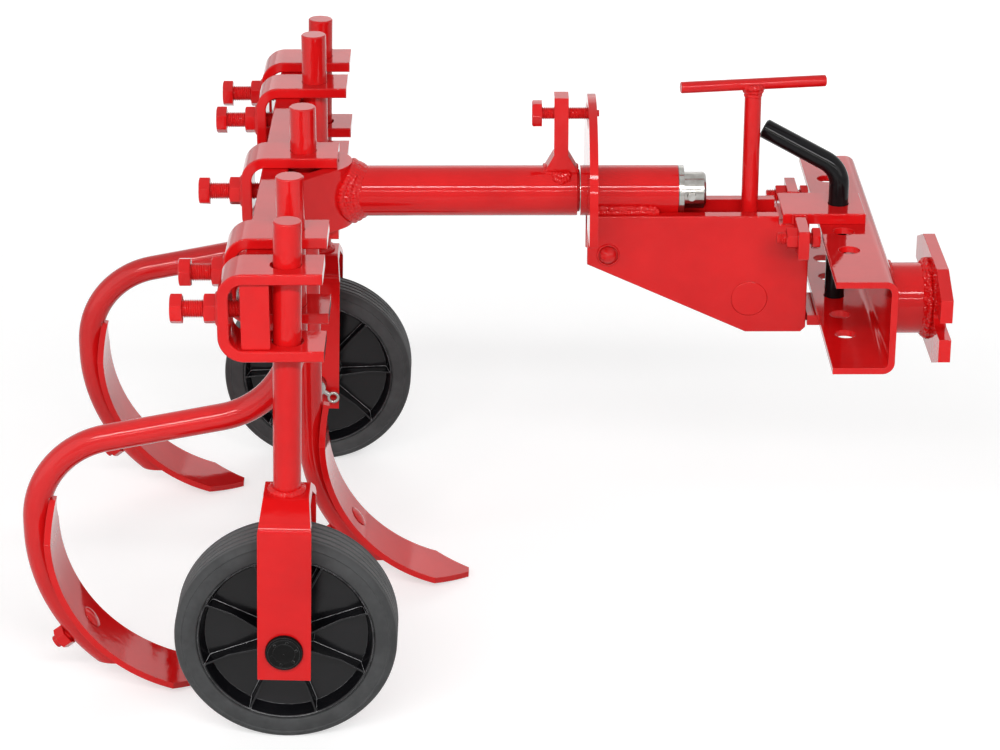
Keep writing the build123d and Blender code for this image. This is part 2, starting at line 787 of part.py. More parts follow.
def make_spindle():
    """The spindle with its upper shoulder, cut at the top to take the cross-bar."""
    foot = barrel_z - barrel_diameter / 2 - spindle_tail
    shoulder = pivot_z + seat_radius + 2 * thrust_gap + thrust_washer_thickness
    body = rod_z(spindle_diameter, foot, crossbar_z, screw_x)
    body += rod_z(collar_diameter, shoulder, shoulder + collar_height, screw_x)
    return body - make_crossbar()


def make_spindle_collar():
    """The collar pinned to the spindle under the arm."""
    top = pivot_z - seat_radius - 2 * thrust_gap - thrust_washer_thickness
    collar = rod_z(collar_diameter, top - collar_height, top, screw_x)
    return collar - rod_z(spindle_diameter, top - collar_height, top, screw_x)


def make_thrust_washers():
    """Two washers that bear on the arm's round seat from above and below, as two solids."""
    bore = spindle_diameter + 2 * hole_play
    washer = Cylinder(thrust_washer_diameter / 2, thrust_washer_thickness)
    washer -= Cylinder(bore / 2, thrust_washer_thickness)
    lift = seat_radius + thrust_gap + thrust_washer_thickness / 2
    return Compound([Pos(screw_x, 0, pivot_z + side * lift) * washer for side in (-1, 1)])


def make_tongue_arm():
    """The arm between the side plates: pivot eye, round screw seat and the post under the tongue."""
    half = plate_half_gap - arm_side_play
    low = pivot_z - arm_height / 2
    high = pivot_z + arm_height / 2
    body = block((pivot_x, plate_end_x), (-half, half), (low, high))
    body += rod_y(2 * arm_eye_radius, -half, half, pivot_x, pivot_z)
    body += rod_y(2 * seat_radius, -half, half, screw_x, pivot_z)
    body += block((post_start_x, plate_end_x), (-half, half), (lower_plate_top, tongue_under))
    body -= rod_y(pivot_diameter + 2 * pivot_running_play, -half, half, pivot_x, pivot_z)
    slot = SlotOverall(seat_slot_length, spindle_diameter + 2 * seat_slot_play)
    return body - Pos(screw_x, 0, pivot_z) * extrude(slot, amount=2 * seat_radius, both=True)


def make_tongue_top():
    """The plate over the channel, drilled for the hitch pin."""
    body = block((tongue_start_x, tongue_end_x), (-tongue_half, tongue_half), (tongue_under, tongue_top))
    body = chamfer(body.faces().sort_by(Axis.Z)[-1].edges(), plate_chamfer)
    return body - rod_z(channel_hole_diameter, tongue_under, tongue_top, pin_x)


def make_tongue_lower():
    """The plate under the channel, narrowed to pass between the side plates."""
    under = lower_plate_top - tongue_thickness
    half = plate_half_gap - arm_side_play
    wide_x = plate_end_x + lower_plate_gap
    body = block((wide_x, tongue_end_x), (-tongue_half, tongue_half), (under, lower_plate_top))
    body += block((post_start_x, wide_x), (-half, half), (under, lower_plate_top))
    return body - rod_z(channel_hole_diameter, under, lower_plate_top, pin_x)


def make_ears():
    """The two ears on the tongue's edges, drilled for their bolts, as two solids."""
    top = tongue_top - ear_top_step
    rear = ear_front_x - ear_thickness
    bore = ear_bolt_diameter + 2 * thread_play
    ears = []
    for side in (-1, 1):
        limits = sorted((side * tongue_half, side * (ear_bolt_side + ear_edge)))
        ear = block((rear, ear_front_x), limits, (top - ear_height, top))
        ear = chamfer(ear.edges().filter_by(Axis.X), plate_chamfer)
        ears.append(ear - rod_x(bore, rear, ear_front_x, side * ear_bolt_side, ear_bolt_z))
    return Compound(ears)


def make_ear_bolt(side):
    """A stop bolt whose head meets the channel's edge when the tongue swings."""
    length = ear_head_standoff + ear_thickness + ear_nut_height + ear_bolt_tail
    bolt = hex_bolt(ear_bolt_diameter, length, ear_bolt_flats, ear_head_height)
    return Pos(ear_front_x + ear_head_standoff, side * ear_bolt_side, ear_bolt_z) * along_x(bolt)


def make_ear_nuts():
    """The lock nuts behind both ears, as two solids."""
    nut = hex_nut(ear_bolt_flats, ear_nut_height, ear_bolt_diameter + 2 * thread_play)
    rear = ear_front_x - ear_thickness
    places = [Pos(rear, side * ear_bolt_side, ear_bolt_z) for side in (-1, 1)]
    return Compound([place * Rot(0, -90, 0) * nut for place in places])


def make_channel():
    """The C channel, open to the rear, with a row of holes through both flanges."""
    inner_front = channel_front_x - channel_thickness
    inner_top = channel_top - channel_thickness
    inner_bottom = channel_bottom + channel_thickness
    route = [
        (channel_rear_x, inner_bottom),
        (inner_front, inner_bottom),
        (inner_front, inner_top),
        (channel_rear_x, inner_top),
    ]
    profile = strap(route, channel_inner_radius, channel_thickness)
    body = extrude(Plane.XZ * profile, amount=channel_length / 2, both=True)
    body = Pos(0, channel_shift, 0) * body
    for place in range(channel_hole_count):
        y = (place - (channel_hole_count - 1) / 2) * channel_hole_pitch
        body -= rod_z(channel_hole_diameter, channel_bottom, channel_top, pin_x, y)
    return body


def make_hitch_pin():
    """The bent pin through tongue and channel, its arm swung past the spindle."""
    foot = lower_plate_top - tongue_thickness - pin_tail
    stem = Line((0, foot), (0, tongue_top + pin_neck))
    bend = JernArc(stem @ 1, stem % 1, pin_bend_radius, pin_bend_angle)
    arm = Line(bend @ 1, bend @ 1 + (bend % 1) * pin_arm)
    pin = sweep_rod([stem, bend, arm], pin_diameter, Plane.XZ)
    ends = pin.faces().filter_by(GeomType.PLANE)
    return Pos(pin_x, 0, 0) * Rot(0, 0, -pin_swing) * chamfer(ends.edges(), pin_chamfer)


def make_stub():
    """The round stub between channel and hitch flange."""
    tube = rod_x(stub_diameter, channel_front_x, flange_rear_x, -stub_side, flange_z)
    return tube - rod_x(stub_diameter - 2 * stub_wall, channel_front_x, flange_rear_x, -stub_side, flange_z)


def make_flange():
    """The hitch flange with cut corners and an open stud slot at each end."""
    half = flange_length / 2
    tall = flange_height / 2
    corner = half - flange_cut_length
    short = tall - flange_cut_height
    points = [
        (-half, -short),
        (-corner, -tall),
        (corner, -tall),
        (half, -short),
        (half, short),
        (corner, tall),
        (-corner, tall),
        (-half, short),
    ]
    face = make_face(Polyline(*points, close=True))
    for side in (-1, 1):
        round_end = half - flange_slot_depth + flange_slot_width / 2
        face -= Pos(side * round_end, 0) * Circle(flange_slot_width / 2)
        face -= Pos(side * (round_end + half) / 2, 0) * Rectangle(half - round_end, flange_slot_width)
    body = extrude(Plane.YZ * face, amount=flange_thickness)
    return Pos(flange_rear_x, -stub_side, flange_z) * body


nodes = {
    "hitch_flange": make_flange(),
    "hitch_stub": make_stub(),
    "hitch_channel": make_channel(),
    "hitch_pin": make_hitch_pin(),
    "tongue_top_plate": make_tongue_top(),
    "tongue_lower_plate": make_tongue_lower(),
    "tongue_arm": make_tongue_arm(),
    "tongue_ears": make_ears(),
    "ear_lock_nuts": make_ear_nuts(),
    "right_ear_bolt": make_ear_bolt(-1),
    "left_ear_bolt": make_ear_bolt(1),
    "right_side_plate": make_side_plate(-1),
    "left_side_plate": make_side_plate(1),
    "swivel_sleeve": make_sleeve(),
    "quadrant_plate": make_quadrant(),
    "pivot_bolt": make_pivot_bolt(),
    "barrel_nut": make_barrel_nut(),
    "thrust_washers": make_thrust_washers(),
    "screw_spindle": make_spindle(),
    "spindle_collar": make_spindle_collar(),
    "screw_crossbar": make_crossbar(),
    "boom_tube": make_boom_tube(),
    "swivel_shaft": make_swivel_shaft(),
    "boom_lug": make_lug(),
    "boom_bracket": make_bracket(),
    "toolbar": make_toolbar(),
    "thrust_ring": make_thrust_ring(),
    "shaft_pin": rod_y(shaft_pin_diameter, -shaft_pin_length / 2, shaft_pin_length / 2, shaft_pin_x),
    "lock_bolt": make_lock_bolt(),
}

# Wheel legs, mirrored so that both caps face outward
for name, outward in (("right", -1), ("left", 1)):
    leg_y = outward * leg_clamp_side
    nodes[f"{name}_leg_clamp"] = make_clamp(leg_y, leg_x, leg_hole_play)
    nodes[f"{name}_leg_set_bolt"] = make_set_bolt(leg_y)
    nodes[f"{name}_leg_shank"] = make_leg_shank(leg_y)
    nodes[f"{name}_leg_fork"] = make_fork(leg_y)
    nodes[f"{name}_axle"] = make_axle(leg_y, outward)
    nodes[f"{name}_axle_cap"] = make_axle_cap(leg_y, outward)
    nodes[f"{name}_tyre"] = make_tyre(leg_y)
    nodes[f"{name}_wheel_centre"] = make_wheel_centre(leg_y)

# Tines: two spring tines at the sides and a straight one in the middle
for name, tine_y in (("right", -tine_clamp_side), ("middle", 0.0), ("left", tine_clamp_side)):
    is_spring = name != "middle"
    nodes[f"{name}_tine_clamp"] = make_clamp(tine_y, shank_x, hole_play)
    nodes[f"{name}_tine_set_bolt"] = make_set_bolt(tine_y)
    nodes[f"{name}_tine_rod"] = make_tine(tine_y, is_spring)
    nodes[f"{name}_point"] = make_point(tine_y, is_spring)
    nodes[f"{name}_point_bolt"] = make_point_bolt(tine_y, is_spring)

os.makedirs("parts", exist_ok=True)
for name, shape in nodes.items():
    export_step(Pos(-origin_x, -origin_y, -origin_z) * shape, f"parts/{name}.step")
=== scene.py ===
import math

import bmesh
import bpy
from mathutils import Matrix, Vector


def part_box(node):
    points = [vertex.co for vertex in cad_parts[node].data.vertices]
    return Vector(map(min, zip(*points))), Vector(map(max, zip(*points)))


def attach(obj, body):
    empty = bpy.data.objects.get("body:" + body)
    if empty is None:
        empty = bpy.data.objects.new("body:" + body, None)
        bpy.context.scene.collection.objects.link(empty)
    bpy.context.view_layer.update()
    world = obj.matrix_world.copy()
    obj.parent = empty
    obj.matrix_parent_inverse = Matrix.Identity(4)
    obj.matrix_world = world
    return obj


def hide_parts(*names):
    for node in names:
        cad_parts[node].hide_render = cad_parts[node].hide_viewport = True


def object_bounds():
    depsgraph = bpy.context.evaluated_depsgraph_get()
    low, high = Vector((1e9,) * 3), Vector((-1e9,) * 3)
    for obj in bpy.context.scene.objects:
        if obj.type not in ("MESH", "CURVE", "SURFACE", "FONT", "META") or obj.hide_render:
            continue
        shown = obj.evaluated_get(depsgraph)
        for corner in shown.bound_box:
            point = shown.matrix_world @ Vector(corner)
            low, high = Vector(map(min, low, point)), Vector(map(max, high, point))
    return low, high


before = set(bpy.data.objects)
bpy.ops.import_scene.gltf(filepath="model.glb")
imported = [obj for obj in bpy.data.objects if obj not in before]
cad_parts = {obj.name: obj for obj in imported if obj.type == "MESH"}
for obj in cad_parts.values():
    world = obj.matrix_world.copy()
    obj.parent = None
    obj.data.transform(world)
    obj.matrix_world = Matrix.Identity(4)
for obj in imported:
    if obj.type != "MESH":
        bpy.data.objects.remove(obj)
cad_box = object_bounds()

# Drawing places are in millimetres from the toolbar's rear face, the boom's axis and its height.
# The shared origin is the middle of the hitch flange's front face.
ORIGIN = Vector((633.0, -106.0, -68.7745))

# Bought fasteners: diameter, length, width across flats, head height, thread pitch, length of a plain nose
SET_BOLT = (16.0, 51.0, 24.0, 10.5, 2.0)
SET_BOLT_GAP = 0.3
LOCK_BOLT = (12.0, 54.0, 22.0, 9.5, 1.75, 6.0)
EAR_BOLT = (12.0, 33.0, 18.0, 7.5, 1.75)
EAR_BOLT_TURN = 30.0

# The pivot bolt's far end: its nut's width across flats and height, its thread's diameter, length and pitch
PIVOT_NUT = (21.0, 11.0)
PIVOT_TAIL = (14.0, 21.0, 2.0)
PIVOT_TAIL_INSET = 6.0

# Boom, sleeve and headstock
BOOM_RADIUS = 24.0
NOSE_CENTRE = 49.5
NOSE_RADIUS = 35.0
BOOM_END = 298.0
SLEEVE_END = 394.0
QUADRANT_FRONT = 315.2
CROSSBAR_HEIGHT = 105.525
SCREW_X = 463.1

# Wheels
TYRE_RADIUS = 100.0
TYRE_HALF = 25.0
RIM_RADIUS = 80.0
GROOVE_PITCH = 50.0 / 6
GROOVE_DEPTH = 3.4
GROOVE_TOP = 1.7
GROOVE_FLOOR = 1.2
RIB_COUNT = 8
RIB_MIDDLE = 49.75
RIB_SIZE = (56.5, 40.0, 2.3)
RIB_DIP = 54.0
RIB_FOOT_LEVELS = (-9.4, -7.6, 7.6, 9.4)
RIB_HUB_REACH = 26.6
RIB_DIP_REACH = 18.3
RIB_RIM_REACH = 22.4
CAP_STUDS = 6
CAP_STUD_CIRCLE = 11.3
CAP_STUD_RADIUS = 1.2
CAP_STUD_RISE = 3.75

# Clamps and legs
CLAMP_BACK = -20.0
LEG_SIDE = 304.0
TINE_SIDE = 216.0
LEG_LEAN = 1.5

# Faces that welds follow
BRACKET_FOOT = 26.6
BRACKET_HALF_HEIGHT = 28.0
BRACKET_SIDES = (-77.6, -61.6, 61.6, 77.6)
LUG_ENDS = (267.4, 297.0)
SLEEVE_WELD_START = 317.0
STUB_REAR = 585.4
STUB_FRONT = 619.8
EAR_SIDES = (-32.0, 32.0)
EAR_REAR = 502.6
EAR_FRONT = 514.2
EAR_FOOT = -22.0
EAR_HEAD = -15.0
NUT_WELD_RADIUS = 13.4
FORK_WELD_RADIUS = 13.4

# Faces that meet at less than this many degrees look smooth
SMOOTH_ANGLE = 35.0

# A thread's depth as a share of its pitch, and a plain nose's radius as a share of its bolt's
THREAD_DEPTH = 0.62
NOSE_SHARE = 0.52

# A weld's step and grain as shares of its bead's radius, and how far a ripple is squashed
RIPPLE_STEP = 0.78
RIPPLE_SQUASH = 0.7
WELD_GRAIN = 0.18

# The camera, in metres and degrees, with its lens in millimetres
CAMERA_PLACE = (-0.42807, -2.67837, 1.05440)
CAMERA_LENS = 111.316
CAMERA_YAW = 0.411
CAMERA_PITCH = 22.911
CAMERA_ROLL = 0.066

# The studio: light from the world, how bright world and floor look, and the floor's finish
WORLD_LIGHT = 0.2
WORLD_SEEN = 1.0
FLOOR_LIFT = 0.57
FLOOR_GREY = (0.55, 0.55, 0.55)
FLOOR_ROUGHNESS = 0.85

# Colours, as linear red, green and blue
PAINT_RED = (0.69, 0.0085, 0.0095)
PAINT_DEEP = (0.58, 0.0060, 0.0070)
# Edge colours are painted highlights: paler tints laid on edges, where light catches them.
PAINT_EDGE_HIGHLIGHT = (0.80, 0.050, 0.046)
PIN_BLACK = (0.006, 0.006, 0.0065)
PIN_DEEP = (0.006, 0.006, 0.007)
PIN_EDGE_HIGHLIGHT = (0.05, 0.05, 0.05)
PLASTIC_BLACK = (0.0035, 0.0035, 0.0042)
PLASTIC_EDGE_HIGHLIGHT = (0.34, 0.34, 0.35)
CAP_BLACK = (0.0030, 0.0030, 0.0030)
CAP_EDGE_HIGHLIGHT = (0.10, 0.10, 0.10)
RUBBER_GREY = (0.044, 0.045, 0.046)
STEEL_GREY = (0.44, 0.43, 0.41)


def at(x, y, z):
    """A drawing place in millimetres, as a point of the shared frame in metres."""
    return (Vector((x, y, z)) - ORIGIN) / 1000


def mm(value):
    """Millimetres to metres."""
    return value / 1000


# Materials


def start_material(name):
    """A new node material, its shader and its object coordinates."""
    material = bpy.data.materials.new(name)
    material.use_nodes = True
    tree = material.node_tree
    shader = tree.nodes["Principled BSDF"]
    coords = tree.nodes.new("ShaderNodeTexCoord")
    return material, tree, shader, coords.outputs["Object"]


def add_noise(tree, place, scale, detail=3.0, roughness=0.55):
    """A noise pattern over the piece, as a value from 0 to 1."""
    noise = tree.nodes.new("ShaderNodeTexNoise")
    noise.inputs["Scale"].default_value = scale
    noise.inputs["Detail"].default_value = detail
    noise.inputs["Roughness"].default_value = roughness
    tree.links.new(place, noise.inputs["Vector"])
    return noise.outputs["Fac"]


def spread(tree, value, low, high, to_low, to_high):
    """Stretch part of a value's range to another range, held at both ends."""
    node = tree.nodes.new("ShaderNodeMapRange")
    node.inputs["From Min"].default_value = low
    node.inputs["From Max"].default_value = high
    node.inputs["To Min"].default_value = to_low
    node.inputs["To Max"].default_value = to_high
    tree.links.new(value, node.inputs["Value"])
    return node.outputs["Result"]


def mix_colours(tree, amount, first, second):
    """Blend two colours. Each is a triple or another node's colour."""
    node = tree.nodes.new("ShaderNodeMix")
    node.data_type = "RGBA"
    tree.links.new(amount, node.inputs["Factor"])
    for socket, colour in ((node.inputs["A"], first), (node.inputs["B"], second)):
        if isinstance(colour, tuple):
            socket.default_value = (*colour, 1.0)
        else:
            tree.links.new(colour, socket)
    return node.outputs["Result"]


def times(tree, first, second):
    """Two values multiplied."""
    node = tree.nodes.new("ShaderNodeMath")
    node.operation = "MULTIPLY"
    tree.links.new(first, node.inputs[0])
    tree.links.new(second, node.inputs[1])
    return node.outputs["Value"]


def add_bump(tree, height, strength, depth, normal=None):
    """Raise a surface by a height pattern, on top of another normal if one is given."""
    node = tree.nodes.new("ShaderNodeBump")
    node.inputs["Strength"].default_value = strength
    node.inputs["Distance"].default_value = depth
    tree.links.new(height, node.inputs["Height"])
    if normal is not None:
        tree.links.new(normal, node.inputs["Normal"])
    return node.outputs["Normal"]


def soft_edges(tree, radius):
    """Rounded edges for the light, and a mask that is 1 on the edges and 0 on flat faces."""
    bevel = tree.nodes.new("ShaderNodeBevel")
    bevel.samples = 6
    bevel.inputs["Radius"].default_value = radius
    geometry = tree.nodes.new("ShaderNodeNewGeometry")
    compare = tree.nodes.new("ShaderNodeVectorMath")
    compare.operation = "DOT_PRODUCT"
    tree.links.new(bevel.outputs["Normal"], compare.inputs[0])
    tree.links.new(geometry.outputs["Normal"], compare.inputs[1])
    mask = spread(tree, compare.outputs["Value"], 0.995, 0.86, 0.0, 1.0)
    return bevel.outputs["Normal"], mask


def brushed_on_paint(name, colour, deep, edge, roughness, peel, skin_depth=0.0010, shine=0.23):
    """Gloss paint: drifting shade, edges painted paler as a highlight, orange peel and the rolled skin of
    the steel below.
    """
    material, tree, shader, place = start_material(name)
    rounded, edges = soft_edges(tree, 0.0009)
    drift = spread(tree, add_noise(tree, place, 14.0, 4.0), 0.35, 0.7, 0.0, 1.0)
    body = mix_colours(tree, drift, colour, deep)
    # Edges get a painted highlight: the edge colour, broken up by noise, mixed over the paint where the
    # edge mask is high.
    paint_highlight_breakup = spread(tree, add_noise(tree, place, 260.0, 2.0), 0.3, 0.75, 0.15, 0.75)
    finished = mix_colours(tree, times(tree, edges, paint_highlight_breakup), body, edge)
    tree.links.new(finished, shader.inputs["Base Color"])
    patches = add_noise(tree, place, 38.0, 5.0, 0.6)
    gloss = spread(tree, patches, 0.3, 0.75, roughness[0], roughness[1])
    tree.links.new(gloss, shader.inputs["Roughness"])
    shader.inputs["Specular IOR Level"].default_value = shine
    skin = add_bump(tree, add_noise(tree, place, 75.0, 4.0), 0.09, skin_depth, rounded)
    fine = add_bump(tree, add_noise(tree, place, 620.0, 2.0), peel, 0.0003, skin)
    tree.links.new(fine, shader.inputs["Normal"])
    return material


def moulded_plastic(name, colour, edge_highlight, shine):
    """Black moulded plastic: fine grain, faint flow marks and edges painted paler as a highlight."""
    material, tree, shader, place = start_material(name)
    rounded, edges = soft_edges(tree, 0.0007)
    flow = spread(tree, add_noise(tree, place, 22.0, 3.0), 0.3, 0.7, 0.0, 1.0)
    paler = tuple(channel * 1.9 for channel in colour)
    body = mix_colours(tree, flow, colour, paler)
    # Edges get a painted highlight in the edge colour, broken up by noise.
    highlight_breakup = spread(tree, add_noise(tree, place, 120.0, 3.0), 0.35, 0.62, 0.15, 1.0)
    finished = mix_colours(tree, times(tree, edges, highlight_breakup), body, edge_highlight)
    tree.links.new(finished, shader.inputs["Base Color"])
    gloss = spread(tree, add_noise(tree, place, 60.0, 4.0), 0.3, 0.7, 0.12, 0.24)
    tree.links.new(gloss, shader.inputs["Roughness"])
    shader.inputs["Specular IOR Level"].default_value = shine
    grain = add_bump(tree, add_noise(tree, place, 1400.0, 1.0), 0.10, 0.0002, rounded)
    tree.links.new(grain, shader.inputs["Normal"])
    return material


def tyre_rubber(name, colour):
    """Grey-black solid rubber: matt, dusty in places, with a fine moulded skin, and a painted sheen on the
    tread face and edges.
    """
    material, tree, shader, place = start_material(name)
    rounded, edges = soft_edges(tree, 0.0010)
    dust = spread(tree, add_noise(tree, place, 30.0, 6.0, 0.65), 0.38, 0.72, 0.0, 1.0)
    dusty = tuple(channel * 1.55 for channel in colour)
    wall = mix_colours(tree, dust, colour, dusty)
    tread = tree.nodes.new("ShaderNodeAttribute")
    tread.attribute_name = "tread"
    # The tread face is painted 2.4 times lighter than the walls: a painted sheen for the light it catches.
    body = mix_colours(tree, tread.outputs["Fac"], wall, tuple(channel * 2.4 for channel in colour))
    # Edges get a painted highlight, 2.3 times lighter than the rubber, broken up by noise.
    highlight_breakup = spread(tree, add_noise(tree, place, 210.0, 3.0), 0.35, 0.7, 0.0, 0.8)
    edge_highlight = tuple(channel * 2.3 for channel in colour)
    finished = mix_colours(tree, times(tree, edges, highlight_breakup), body, edge_highlight)
    tree.links.new(finished, shader.inputs["Base Color"])
    gloss = spread(tree, add_noise(tree, place, 80.0, 3.0), 0.3, 0.7, 0.58, 0.76)
    tree.links.new(gloss, shader.inputs["Roughness"])
    shader.inputs["Specular IOR Level"].default_value = 0.22
    skin = add_bump(tree, add_noise(tree, place, 160.0, 5.0, 0.6), 0.16, 0.0006, rounded)
    fine = add_bump(tree, add_noise(tree, place, 1100.0, 2.0), 0.18, 0.0003, skin)
    tree.links.new(fine, shader.inputs["Normal"])
    return material


def turned_steel(name, colour):
    """Bare steel with fine turning marks and a little tarnish."""
    material, tree, shader, place = start_material(name)
    rounded = soft_edges(tree, 0.0006)[0]
    tarnish = spread(tree, add_noise(tree, place, 90.0, 5.0, 0.65), 0.35, 0.75, 0.0, 1.0)
    dull = (colour[0] * 0.55, colour[1] * 0.53, colour[2] * 0.50)
    tree.links.new(mix_colours(tree, tarnish, colour, dull), shader.inputs["Base Color"])
    shader.inputs["Metallic"].default_value = 1.0
    gloss = spread(tree, add_noise(tree, place, 140.0, 4.0), 0.3, 0.7, 0.13, 0.26)
    tree.links.new(gloss, shader.inputs["Roughness"])
    stretch = tree.nodes.new("ShaderNodeMapping")
    stretch.inputs["Scale"].default_value = (2600.0, 90.0, 90.0)
    tree.links.new(place, stretch.inputs["Vector"])
    marks = add_noise(tree, stretch.outputs["Vector"], 1.0, 2.0)
    tree.links.new(add_bump(tree, marks, 0.10, 0.0002, rounded), shader.inputs["Normal"])
    return material


red_paint = brushed_on_paint("red_gloss_paint", PAINT_RED, PAINT_DEEP, PAINT_EDGE_HIGHLIGHT, (0.03, 0.09), 0.025)
forged_paint = brushed_on_paint(
    "red_paint_on_forging", PAINT_RED, PAINT_DEEP, PAINT_EDGE_HIGHLIGHT, (0.03, 0.08), 0.03, 0.0010, 0.34
)
black_paint = brushed_on_paint(
    "black_gloss_paint", PIN_BLACK, PIN_DEEP, PIN_EDGE_HIGHLIGHT, (0.03, 0.07), 0.02, 0.0005, 0.15
)
black_plastic = moulded_plastic("black_moulded_plastic", PLASTIC_BLACK, PLASTIC_EDGE_HIGHLIGHT, 0.28)
cap_plastic = moulded_plastic("black_cap_plastic", CAP_BLACK, CAP_EDGE_HIGHLIGHT, 0.10)
rubber = tyre_rubber("grey_tyre_rubber", RUBBER_GREY)
steel = turned_steel("bare_turned_steel", STEEL_GREY)
finishes = {
    "red_paint": red_paint,
    "black_paint": black_paint,
    "black_plastic": black_plastic,
    "tyre_rubber": rubber,
    "bare_steel": steel,
}
for node_name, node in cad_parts.items():
    for holder in node.material_slots:
        holder.material = finishes[holder.material.name.split(".")[0]]
        if node_name.endswith("_tine_rod"):
            holder.material = forged_paint


# Modelling by hand


def pick_only(piece):
    """Make one piece the selected and active one."""
    bpy.ops.object.select_all(action="DESELECT")
    piece.select_set(True)
    bpy.context.view_layer.objects.active = piece


def apply_change(piece, change):
    """Apply one modifier to its piece."""
    pick_only(piece)
    bpy.ops.object.modifier_apply(modifier=change.name)


def lay(piece, matrix):
    """Put a piece in its place, with the place in its mesh."""
    piece.matrix_world = matrix
    pick_only(piece)
    bpy.ops.object.transform_apply(location=True, rotation=True, scale=True)
    return piece


def round_edges(piece, width, segments=2, angle=30.0):
    """Round every sharp edge of a piece."""
    change = piece.modifiers.new("rounded", "BEVEL")
    change.width = mm(width)
    change.segments = segments
    change.limit_method = "ANGLE"
    change.angle_limit = math.radians(angle)
    apply_change(piece, change)


def join_up(pieces):
    """Make one piece of several."""
    pick_only(pieces[0])
    for piece in pieces[1:]:
        piece.select_set(True)
    bpy.ops.object.join()
    return pieces[0]


def finish_piece(piece, name, body, slot, stands_for=(), finish=None):
    """Name a piece, smooth its round faces, paint it, and set it on its body."""
    piece.name = name
    piece.data.name = name
    pick_only(piece)
    bpy.ops.object.shade_smooth_by_angle(angle=math.radians(SMOOTH_ANGLE))
    piece.data.materials.clear()
    piece.data.materials.append(finish or finishes[slot])
    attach(piece, body)
    if stands_for:
        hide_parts(*stands_for)
    return piece


def copy_piece(piece):
    """A copy of a piece, with its own mesh."""
    twin = piece.copy()
    twin.data = piece.data.copy()
    bpy.context.scene.collection.objects.link(twin)
    return twin


# Bolts and nuts


def pick_upright_edges(piece):
    """Select only the edges that run along Z."""
    mesh = bmesh.from_edit_mesh(piece.data)
    for edge in mesh.edges:
        run = edge.verts[0].co - edge.verts[1].co
        edge.select_set(math.hypot(run.x, run.y) < 1e-6)
    bmesh.update_edit_mesh(piece.data)


def thread_rod(diameter, length, pitch, nose=None):
    """A threaded rod hanging down from the XY plane: a cylinder cut into rings, drawn in to a helix."""
    radius = mm(diameter / 2)
    depth = mm(pitch * THREAD_DEPTH)
    tip = mm(nose or diameter / 12)
    bpy.ops.object.select_all(action="DESELECT")
    middle = (0, 0, -mm(length / 2))
    bpy.ops.mesh.primitive_cylinder_add(vertices=32, radius=radius, depth=mm(length), location=middle)
    rod = bpy.context.object
    bpy.ops.object.transform_apply(location=True)
    cuts = math.ceil(math.sqrt(length / pitch * 6)) - 1
    bpy.ops.object.mode_set(mode="EDIT")
    bpy.ops.mesh.select_mode(type="EDGE")
    for _ in range(2):
        bpy.ops.mesh.select_all(action="DESELECT")
        pick_upright_edges(rod)
        bpy.ops.mesh.subdivide(number_cuts=cuts)
    bpy.ops.object.mode_set(mode="OBJECT")
    for vertex in rod.data.vertices:
        turn = math.atan2(vertex.co.y, vertex.co.x) / math.tau
        phase = (vertex.co.z / mm(pitch) - turn) % 1.0
        ridge = min(1.0, max(0.0, 1.35 - abs(2 * phase - 1) * 1.7))
        worn = min(1.0, (vertex.co.z + mm(length)) / tip)
        reach = radius - depth * (1 - ridge * worn)
        if nose and worn < 1.0:
            reach = radius * NOSE_SHARE
        across = Vector((vertex.co.x, vertex.co.y)).normalized() * reach
        vertex.co.x, vertex.co.y = across
    return rod


def turn_off_corners(prism, corner, flat, height):
    """Turn off the upper corners of a hexagon, as on a lathe."""
    slope = (corner - flat) * 0.55
    bpy.ops.object.select_all(action="DESELECT")
    middle = (0, 0, (height - slope) / 2)
    reach = corner * 1.01
    bpy.ops.mesh.primitive_cylinder_add(vertices=48, radius=reach, depth=height - slope, location=middle)
    blank = bpy.context.object
    bpy.ops.object.transform_apply(location=True)
    bpy.ops.object.mode_set(mode="EDIT")
    bpy.ops.mesh.select_mode(type="FACE")
    bpy.ops.mesh.select_all(action="DESELECT")
    mesh = bmesh.from_edit_mesh(blank.data)
    for face in mesh.faces:
        face.select_set(face.normal.z > 0.9)
    bmesh.update_edit_mesh(blank.data)
    bpy.ops.mesh.extrude_region_move(TRANSFORM_OT_translate={"value": (0, 0, slope)})
    shrink = flat * 0.97 / reach
    bpy.ops.transform.resize(value=(shrink, shrink, 1.0), center_override=(0, 0, height))
    bpy.ops.object.mode_set(mode="OBJECT")
    cut = prism.modifiers.new("turned", "BOOLEAN")
    cut.operation = "INTERSECT"
    cut.solver = "EXACT"
    cut.object = blank
    apply_change(prism, cut)
    bpy.data.objects.remove(blank)


def hexagon(flats, height):
    """A hexagon standing on the XY plane, with its upper corners turned off and its edges eased."""
    corner = mm(flats / math.sqrt(3))
    bpy.ops.object.select_all(action="DESELECT")
    middle = (0, 0, mm(height / 2))
    bpy.ops.mesh.primitive_cylinder_add(vertices=6, radius=corner, depth=mm(height), location=middle)
    prism = bpy.context.object
    bpy.ops.object.transform_apply(location=True)
    turn_off_corners(prism, corner, mm(flats / 2), mm(height))
    round_edges(prism, 0.45)
    return prism


def hex_bolt(diameter, length, flats, head_height, pitch, nose=None):
    """A bolt: its hexagon head stands on the XY plane and its thread hangs below."""
    return join_up([hexagon(flats, head_height), thread_rod(diameter, length, pitch, nose)])


REARWARD = Matrix.Rotation(math.radians(-90), 4, "Y")
FORWARD = Matrix.Rotation(math.radians(90), 4, "Y")

